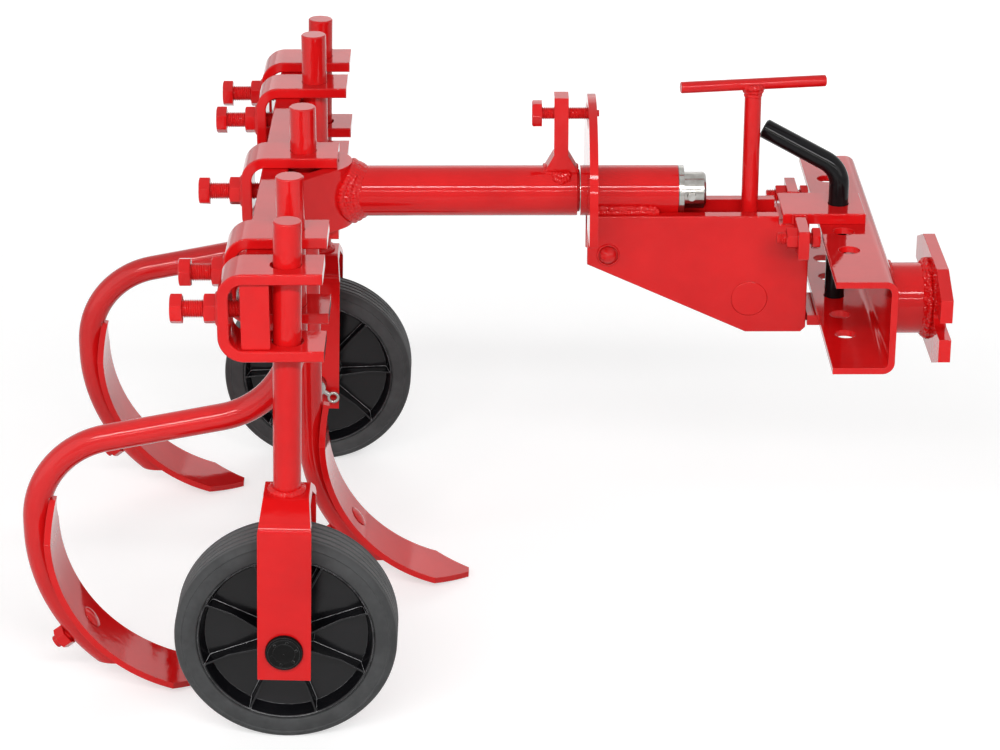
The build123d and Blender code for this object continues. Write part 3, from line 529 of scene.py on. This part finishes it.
set_bolt = hex_bolt(*SET_BOLT)
set_bolt_places = {
    "right_leg": (-LEG_SIDE, 30.0),
    "right_tine": (-TINE_SIDE, 18.0),
    "middle_tine": (0.0, 24.0),
    "left_tine": (TINE_SIDE, 33.0),
    "left_leg": (LEG_SIDE, 27.0),
}
for place, (side, tightened) in set_bolt_places.items():
    bolt = copy_piece(set_bolt)
    turn = Matrix.Rotation(math.radians(tightened), 4, "Z")
    lay(bolt, Matrix.Translation(at(-SET_BOLT_GAP - SET_BOLT[1], side, 0.0)) @ REARWARD @ turn)
    finish_piece(bolt, f"{place}_set_bolt_threaded", f"{place}_lock", "red_paint", [f"{place}_set_bolt"])
bpy.data.objects.remove(set_bolt)

lock_bolt = hex_bolt(*LOCK_BOLT)
low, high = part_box("lock_bolt")
seat = Vector((high.x - mm(LOCK_BOLT[1]), (low.y + high.y) / 2, (low.z + high.z) / 2))
lay(lock_bolt, Matrix.Translation(seat) @ REARWARD)
finish_piece(lock_bolt, "lock_bolt_threaded", "swivel_lock", "red_paint", ["lock_bolt"])

ear_bolt = hex_bolt(*EAR_BOLT)
for side in ("right", "left"):
    bolt = copy_piece(ear_bolt)
    low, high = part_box(f"{side}_ear_bolt")
    seat = Vector((low.x + mm(EAR_BOLT[1]), (low.y + high.y) / 2, (low.z + high.z) / 2))
    lay(bolt, Matrix.Translation(seat) @ FORWARD @ Matrix.Rotation(math.radians(EAR_BOLT_TURN), 4, "Z"))
    finish_piece(bolt, f"{side}_ear_bolt_threaded", f"{side}_ear_stop", "red_paint", [f"{side}_ear_bolt"])
bpy.data.objects.remove(ear_bolt)


# Wheels


def spin_section(section, centre, steps):
    """Pull a ring of points to a closed section of radius and width, then spin it round the axle line."""
    bpy.ops.object.select_all(action="DESELECT")
    bpy.ops.mesh.primitive_circle_add(vertices=len(section), radius=0.01)
    piece = bpy.context.object
    for vertex, (radius, width) in zip(piece.data.vertices, section):
        vertex.co = centre + Vector((mm(radius), mm(width), 0.0))
    bpy.ops.object.mode_set(mode="EDIT")
    bpy.ops.mesh.select_all(action="SELECT")
    bpy.ops.mesh.spin(steps=steps, angle=math.tau, center=centre, axis=(0, 1, 0))
    bpy.ops.mesh.select_all(action="SELECT")
    bpy.ops.mesh.remove_doubles(threshold=1e-6)
    bpy.ops.mesh.normals_make_consistent(inside=False)
    bpy.ops.object.mode_set(mode="OBJECT")
    return piece


def both_faces(half):
    """A section's outer half, with its mirror for the inner face."""
    return half + [(radius, -width) for radius, width in reversed(half)]


def make_tyre(centre):
    """The solid tyre: bead lip, flat wall, round shoulder and grooves round the tread."""
    wall = [
        (RIM_RADIUS + 0.05, 22.6),
        (RIM_RADIUS + 0.7, 23.9),
        (RIM_RADIUS + 2.0, 24.5),
        (RIM_RADIUS + 6.5, 24.8),
        (RIM_RADIUS + 11.2, 24.5),
        (RIM_RADIUS + 12.4, 24.3),
        (RIM_RADIUS + 13.0, 24.7),
        (RIM_RADIUS + 13.7, TYRE_HALF),
        (RIM_RADIUS + 14.4, 24.7),
        (RIM_RADIUS + 15.0, 24.0),
        (TYRE_RADIUS - 3.0, 22.9),
        (TYRE_RADIUS - 1.2, 21.0),
        (TYRE_RADIUS - 0.2, 18.9),
    ]
    tread = []
    for groove in (2, 1):
        middle = groove * GROOVE_PITCH
        tread += [
            (TYRE_RADIUS, middle + GROOVE_TOP),
            (TYRE_RADIUS - GROOVE_DEPTH, middle + GROOVE_FLOOR),
            (TYRE_RADIUS - GROOVE_DEPTH, middle - GROOVE_FLOOR),
            (TYRE_RADIUS, middle - GROOVE_TOP),
        ]
    tread += [(TYRE_RADIUS, GROOVE_TOP), (TYRE_RADIUS - GROOVE_DEPTH, GROOVE_FLOOR)]
    tyre = spin_section(both_faces(wall + tread), centre, 144)
    # Points on the tread face are marked for the material's painted sheen.
    worn = tyre.data.attributes.new("tread", "FLOAT", "POINT")
    for vertex, mark in zip(tyre.data.vertices, worn.data):
        reach = vertex.co - centre
        mark.value = 1.0 if math.hypot(reach.x, reach.z) > mm(TYRE_RADIUS - 0.9) else 0.0
    return tyre


def make_rib():
    """One rib of the wheel centre along +X: high at hub and rim, low between, on a flared root."""
    bpy.ops.object.select_all(action="DESELECT")
    bpy.ops.mesh.primitive_cube_add(size=1.0)
    rib = bpy.context.object
    bpy.ops.object.mode_set(mode="EDIT")
    bpy.ops.transform.resize(value=[mm(size) for size in RIB_SIZE], center_override=(0, 0, 0))
    bpy.ops.transform.translate(value=(mm(RIB_MIDDLE), 0, 0))
    bpy.ops.mesh.select_all(action="SELECT")
    bpy.ops.mesh.bisect(plane_co=(mm(RIB_DIP), 0, 0), plane_no=(1, 0, 0))
    for level in RIB_FOOT_LEVELS:
        bpy.ops.mesh.select_all(action="SELECT")
        bpy.ops.mesh.bisect(plane_co=(0, mm(level), 0), plane_no=(0, 1, 0))
    bpy.ops.object.mode_set(mode="OBJECT")
    for vertex in rib.data.vertices:
        level = abs(vertex.co.y)
        if level > mm(15.0):
            reach = RIB_RIM_REACH
            if vertex.co.x < mm(60.0):
                reach = RIB_DIP_REACH
            if vertex.co.x < mm(30.0):
                reach = RIB_HUB_REACH
            vertex.co.y = math.copysign(mm(reach), vertex.co.y)
            vertex.co.z *= 0.85
        elif level < mm(8.0):
            vertex.co.z *= 2.2
    round_edges(rib, 0.55, 3)
    return rib


def make_wheel_centre(centre, hub_half, rib_turn):
    """The ribbed wheel centre: rim lip, sloping rim wall, flat dish, hub and eight ribs."""
    half = [
        (10.08, hub_half),
        (20.5, hub_half),
        (22.0, hub_half - 1.1),
        (23.6, 9.6),
        (25.4, 8.0),
        (71.6, 8.0),
        (73.2, 8.5),
        (74.2, 9.8),
        (76.9, 21.2),
        (77.6, 22.4),
        (78.6, 23.0),
        (79.6, 22.8),
        (RIM_RADIUS, 22.0),
    ]
    pieces = [spin_section(both_faces(half), centre, 120)]
    rib = make_rib()
    for step in range(RIB_COUNT):
        turn = Matrix.Rotation(math.radians(360.0 / RIB_COUNT * step - rib_turn), 4, "Y")
        pieces.append(lay(copy_piece(rib), Matrix.Translation(centre) @ turn))
    bpy.data.objects.remove(rib)
    return join_up(pieces)


for side, rib_turn in (("right", 19.2), ("left", 2.0)):
    low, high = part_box(f"{side}_wheel_centre")
    hub = (low + high) / 2
    hub_half = (high.y - low.y) * 500
    wheel = f"{side}_wheel"
    finish_piece(make_tyre(hub), f"{side}_grooved_tyre", wheel, "tyre_rubber", [f"{side}_tyre"])
    wheel_centre = make_wheel_centre(hub, hub_half, rib_turn)
    finish_piece(wheel_centre, f"{side}_ribbed_centre", wheel, "black_plastic", [f"{side}_wheel_centre"])


def make_axle_cap(seat, outward):
    """The cap on an axle's outer end: a broad rim, a sunk ring with studs, and a flat middle."""
    section = [
        (0.2, 3.05),
        (10.1, 3.05),
        (10.1, 0.05),
        (16.2, 0.05),
        (17.0, 0.8),
        (17.0, 2.6),
        (16.0, 4.2),
        (14.2, 4.9),
        (12.9, 4.1),
        (9.8, 3.9),
        (8.8, 4.6),
        (0.2, 5.0),
    ]
    pieces = [spin_section([(radius, outward * rise) for radius, rise in section], seat, 72)]
    for step in range(CAP_STUDS):
        turn = math.radians(360.0 / CAP_STUDS * step + 15.0)
        across = (math.cos(turn) * mm(CAP_STUD_CIRCLE), math.sin(turn) * mm(CAP_STUD_CIRCLE))
        middle = seat + Vector((across[0], outward * mm(CAP_STUD_RISE), across[1]))
        bpy.ops.object.select_all(action="DESELECT")
        bpy.ops.mesh.primitive_uv_sphere_add(
            segments=16, ring_count=8, radius=mm(CAP_STUD_RADIUS), location=middle
        )
        bpy.ops.object.transform_apply(location=True)
        pieces.append(bpy.context.object)
    return join_up(pieces)


for side, outward in (("right", -1), ("left", 1)):
    low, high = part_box(f"{side}_axle_cap")
    seat = (low + high) / 2
    seat.y = low.y if outward > 0 else high.y
    cap = make_axle_cap(seat, outward)
    stands_for = [f"{side}_axle_cap"]
    finish_piece(cap, f"{side}_studded_cap", f"{side}_leg", "black_plastic", stands_for, cap_plastic)


# Pivot bolt

low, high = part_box("pivot_bolt")
middle = (low + high) / 2
near_face = Vector((middle.x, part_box("right_side_plate")[0].y, middle.z))
far_face = Vector((middle.x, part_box("left_side_plate")[1].y, middle.z))
RIGHTWARD = Matrix.Rotation(math.radians(90), 4, "X")
LEFTWARD = Matrix.Rotation(math.radians(-90), 4, "X")
collar = spin_section([
    (9.3, 0.0),
    (11.0, 0.0),
    (11.0, -1.3),
    (10.5, -2.2),
    (9.9, -2.5),
    (9.3, -2.0),
], near_face, 48)
bolt_end = spin_section([
    (0.2, 3.0),
    (8.0, 3.0),
    (8.0, -0.6),
    (7.1, -1.5),
    (7.9, -2.3),
    (7.1, -3.1),
    (7.4, -3.9),
    (6.6, -5.1),
    (5.3, -6.3),
    (3.6, -7.2),
    (1.8, -7.8),
    (0.2, -8.0),
], near_face, 48)
nut = lay(hexagon(*PIVOT_NUT), Matrix.Translation(far_face) @ LEFTWARD)
tail_seat = far_face - Vector((0, mm(PIVOT_TAIL_INSET), 0))
tail = lay(thread_rod(*PIVOT_TAIL), Matrix.Translation(tail_seat) @ RIGHTWARD)
pivot_bolt = join_up([collar, bolt_end, nut, tail])
finish_piece(pivot_bolt, "pivot_bolt_threaded", "headstock", "red_paint", ["pivot_bolt"])


# Weld beads

lumps = bpy.data.textures.new("weld_lumps", "CLOUDS")
lumps.noise_scale = mm(4.0)


def ripple_run(route, radius, closed):
    """One weld ripple, repeated along a route."""
    path = bpy.data.curves.new("route", "CURVE")
    path.dimensions = "3D"
    spline = path.splines.new("POLY")
    spline.points.add(len(route) - 1)
    for point, place in zip(spline.points, route):
        point.co = (*place, 1.0)
    spline.use_cyclic_u = closed
    guide = bpy.data.objects.new("route", path)
    bpy.context.scene.collection.objects.link(guide)
    bpy.ops.object.select_all(action="DESELECT")
    bpy.ops.mesh.primitive_uv_sphere_add(segments=14, ring_count=9, radius=mm(radius))
    bead = bpy.context.object
    bpy.ops.object.mode_set(mode="EDIT")
    bpy.ops.transform.resize(value=(RIPPLE_SQUASH, 1.0, 1.0), center_override=(0, 0, 0))
    bpy.ops.object.mode_set(mode="OBJECT")
    ripples = bead.modifiers.new("ripples", "ARRAY")
    ripples.fit_type = "FIT_CURVE"
    ripples.curve = guide
    ripples.use_relative_offset = False
    ripples.use_constant_offset = True
    ripples.constant_offset_displace = (mm(radius * RIPPLE_STEP), 0.0, 0.0)
    apply_change(bead, ripples)
    follow = bead.modifiers.new("follow", "CURVE")
    follow.object = guide
    apply_change(bead, follow)
    bpy.data.objects.remove(guide)
    return bead


def ring_route(centre, radius, axis, start=0.0, sweep=360.0, count=48):
    """Points round a circle in millimetres, about X or Z."""
    points = []
    for step in range(count + (sweep < 360.0)):
        angle = math.radians(start + sweep * step / count)
        across = (math.cos(angle) * radius, math.sin(angle) * radius)
        offset = {"X": (0.0, *across), "Z": (*across, 0.0)}[axis]
        points.append(Vector(centre) + Vector(offset))
    return points


def weld(name, body, beads, lump=0.42, ease=3):
    """Lay beads given as route in drawing places, radius and closed. Fuse and roughen them on a body."""
    finest = min(radius for route, radius, closed in beads)
    runs = []
    for route, radius, closed in beads:
        runs.append(ripple_run([at(*place) for place in route], radius, closed))
    bead = join_up(runs)
    fuse = bead.modifiers.new("fused", "REMESH")
    fuse.mode = "VOXEL"
    fuse.voxel_size = mm(finest * WELD_GRAIN)
    apply_change(bead, fuse)
    rough = bead.modifiers.new("lumps", "DISPLACE")
    rough.texture = lumps
    rough.texture_coords = "LOCAL"
    rough.strength = mm(finest * lump)
    apply_change(bead, rough)
    eased = bead.modifiers.new("eased", "SMOOTH")
    eased.factor = 0.5
    eased.iterations = ease
    apply_change(bead, eased)
    finish_piece(bead, name, body, "red_paint")


def nose_route(ahead, proud):
    """Points round the boom where it meets the bracket's round nose."""
    points = []
    for step in range(56):
        angle = math.tau * step / 56
        side = math.cos(angle) * (BOOM_RADIUS + proud)
        along = NOSE_CENTRE + math.sqrt(NOSE_RADIUS ** 2 - side ** 2) + ahead
        points.append((along, side, math.sin(angle) * (BOOM_RADIUS + proud)))
    return points


weld("boom_nose_weld", "boom", [
    (nose_route(2.4, 3.2), 4.0, True),
    (nose_route(6.0, 0.8), 4.4, True),
    (nose_route(9.8, -1.2), 4.0, True),
    (nose_route(12.2, -2.4), 3.6, True),
], 0.42, 4)

weld("bracket_welds", "boom", [
    ([(BRACKET_FOOT, side, -BRACKET_HALF_HEIGHT), (BRACKET_FOOT, side, BRACKET_HALF_HEIGHT)], 2.8, False)
    for side in BRACKET_SIDES
])

lug_seams = []
for side in (-1, 1):
    upper_run = [(276.0, side * 12.6, 20.4), (282.0, side * 14.4, 19.2), (291.0, side * 12.8, 20.2)]
    lower_run = [(277.0, side * 16.0, 17.2), (283.0, side * 18.2, 14.8), (290.0, side * 15.8, 17.4)]
    rear_run = [(268.5, side * 11.0, 21.4), (277.0, side * 12.0, 21.0)]
    lug_seams.append((upper_run, 3.7, False))
    lug_seams.append((lower_run, 3.6, False))
    lug_seams.append((rear_run, 2.0, False))
for end in LUG_ENDS:
    lug_seams.append((ring_route((end, 0, 0), BOOM_RADIUS - 0.4, "X", 66.0, 48.0, 12), 2.4, False))
weld("lug_welds", "boom", lug_seams, 0.55, 7)

weld("shaft_weld", "boom", [(ring_route((BOOM_END + 1.1, 0, 0), 18.9, "X"), 1.5, True)])

sleeve_seams = []
for side in (-1, 1):
    lower_run = [(SLEEVE_WELD_START + 1.0, side * 23.0, -14.2), (SLEEVE_END - 19.0, side * 23.0, -14.2)]
    upper_run = [(SLEEVE_WELD_START, side * 24.0, -9.6), (SLEEVE_END - 22.0, side * 23.6, -10.4)]
    sleeve_seams.append((lower_run, 3.6, False))
    sleeve_seams.append((upper_run, 2.9, False))
weld("sleeve_welds", "headstock", sleeve_seams, 0.75, 2)

weld("quadrant_welds", "headstock", [
    (ring_route((QUADRANT_FRONT + 0.8, 0, 0), BOOM_RADIUS + 0.6, "X", -22.0, 224.0), 1.9, False),
])

stub_middle = (ORIGIN.y, ORIGIN.z)
weld("flange_weld", "hitch", [
    (ring_route((STUB_FRONT, *stub_middle), 34.0, "X"), 3.8, True),
    (ring_route((STUB_FRONT - 3.4, *stub_middle), 32.6, "X"), 2.4, True),
], 1.5, 2)
weld("stub_weld", "hitch", [(ring_route((STUB_REAR, *stub_middle), 33.4, "X"), 2.2, True)], 0.7, 2)

weld("handle_weld", "screw", [
    (ring_route((SCREW_X, 0, CROSSBAR_HEIGHT - 2.2), 8.2, "Z", count=32), 3.4, True),
    (ring_route((SCREW_X, 0, CROSSBAR_HEIGHT - 6.2), 7.4, "Z", count=32), 2.8, True),
    (ring_route((SCREW_X, 0, CROSSBAR_HEIGHT - 10.2), 6.9, "Z", count=32), 2.0, True),
], 0.8, 2)

for side in ("right", "left"):
    low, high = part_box(f"{side}_leg_fork")
    foot = Vector(((low.x + high.x) / 2, (low.y + high.y) / 2, high.z)) * 1000 + ORIGIN
    foot.x += (high.z - low.z) / 2 * 1000 * math.tan(math.radians(LEG_LEAN))
    weld(f"{side}_fork_weld", f"{side}_leg", [(ring_route(foot, FORK_WELD_RADIUS, "Z"), 3.8, True)], 0.5, 3)

ear_seams = []
for side in EAR_SIDES:
    ear_seams.append(([(EAR_REAR, side, EAR_FOOT), (EAR_REAR, side, EAR_HEAD)], 1.9, False))
    ear_seams.append(([(EAR_FRONT, side, EAR_FOOT), (EAR_FRONT, side, EAR_HEAD)], 1.9, False))
    top_run = [(EAR_REAR + 0.4, side, EAR_HEAD + 0.6), (EAR_FRONT - 0.2, side, EAR_HEAD + 0.6)]
    ear_seams.append((top_run, 1.7, False))
weld("ear_welds", "tongue", ear_seams)

for place, (side, _) in set_bolt_places.items():
    ring = ring_route((CLAMP_BACK - 0.9, side, 0), NUT_WELD_RADIUS, "X", count=40)
    weld(f"{place}_nut_weld", f"{place}_holder", [(ring, 1.9, True)])


# Studio


def soft_lamp(name, place, target, width, height, power, mirrored):
    """A soft box lamp turned to a point. One that isn't mirrored gives light without a highlight."""
    data = bpy.data.lights.new(name, "AREA")
    data.shape = "RECTANGLE"
    data.size = width
    data.size_y = height
    data.energy = power
    lamp = bpy.data.objects.new(name, data)
    lamp.location = place
    lamp.rotation_euler = (Vector(target) - Vector(place)).to_track_quat("-Z", "Y").to_euler()
    lamp.visible_glossy = mirrored
    bpy.context.scene.collection.objects.link(lamp)


def seen_directly(tree):
    """1 where the eye, a reflection or glass looks at a surface, and 0 for the light it gives."""
    path = tree.nodes.new("ShaderNodeLightPath")
    first = tree.nodes.new("ShaderNodeMath")
    first.operation = "MAXIMUM"
    tree.links.new(path.outputs["Is Camera Ray"], first.inputs[0])
    tree.links.new(path.outputs["Is Glossy Ray"], first.inputs[1])
    second = tree.nodes.new("ShaderNodeMath")
    second.operation = "MAXIMUM"
    tree.links.new(first.outputs["Value"], second.inputs[0])
    tree.links.new(path.outputs["Is Transmission Ray"], second.inputs[1])
    return second.outputs["Value"]


world = bpy.data.worlds.new("studio")
world.use_nodes = True
backdrop = world.node_tree.nodes["Background"]
backdrop.inputs["Color"].default_value = (1.0, 1.0, 1.0, 1.0)
strength = spread(world.node_tree, seen_directly(world.node_tree), 0.0, 1.0, WORLD_LIGHT, WORLD_SEEN)
world.node_tree.links.new(strength, backdrop.inputs["Strength"])
bpy.context.scene.world = world

middle = (cad_box[0] + cad_box[1]) / 2
bpy.ops.object.select_all(action="DESELECT")
bpy.ops.mesh.primitive_plane_add(size=40.0, location=(middle.x, middle.y, cad_box[0].z))
floor = bpy.context.object
floor.name = "studio_floor"
floor_finish, floor_tree, floor_shader = start_material("pale_floor")[:3]
floor_shader.inputs["Base Color"].default_value = (*FLOOR_GREY, 1.0)
floor_shader.inputs["Roughness"].default_value = FLOOR_ROUGHNESS
floor_shader.inputs["Emission Color"].default_value = (1.0, 1.0, 1.0, 1.0)
lift = spread(floor_tree, seen_directly(floor_tree), 0.0, 1.0, 0.0, FLOOR_LIFT)
floor_tree.links.new(lift, floor_shader.inputs["Emission Strength"])
floor.data.materials.append(floor_finish)

lamp_plan = {
    "high_strip": ((-0.1, -2.4, 1.8), 3.2, 0.20, 60.0, True),
    "low_strip": ((-0.1, -2.9, 1.0), 3.0, 0.07, 13.5, True),
    "left_box": ((-2.3, -1.5, 1.0), 2.6, 2.6, 18.0, True),
    "right_box": ((1.7, -2.0, 0.9), 1.2, 1.2, 7.0, True),
    "rear": ((0.2, 2.5, 1.15), 2.4, 1.2, 6.0, True),
    "back_fill": ((0.3, 2.6, 0.8), 2.4, 1.2, 30.0, False),
}
for name, (offset, width, height, power, mirrored) in lamp_plan.items():
    soft_lamp(name, middle + Vector(offset), middle, width, height, power, mirrored)

camera_data = bpy.data.cameras.new("photo_camera")
camera_data.sensor_width = 36.0
camera_data.sensor_fit = "HORIZONTAL"
camera_data.lens = CAMERA_LENS
camera = bpy.data.objects.new("photo_camera", camera_data)
turn = Matrix.Rotation(math.radians(-CAMERA_YAW), 4, "Z")
tilt = Matrix.Rotation(math.radians(90.0 - CAMERA_PITCH), 4, "X")
roll = Matrix.Rotation(math.radians(CAMERA_ROLL), 4, "Z")
camera.matrix_world = Matrix.Translation(CAMERA_PLACE) @ turn @ tilt @ roll
bpy.context.scene.collection.objects.link(camera)
bpy.context.scene.camera = camera
bpy.context.scene.view_settings.view_transform = "Standard"
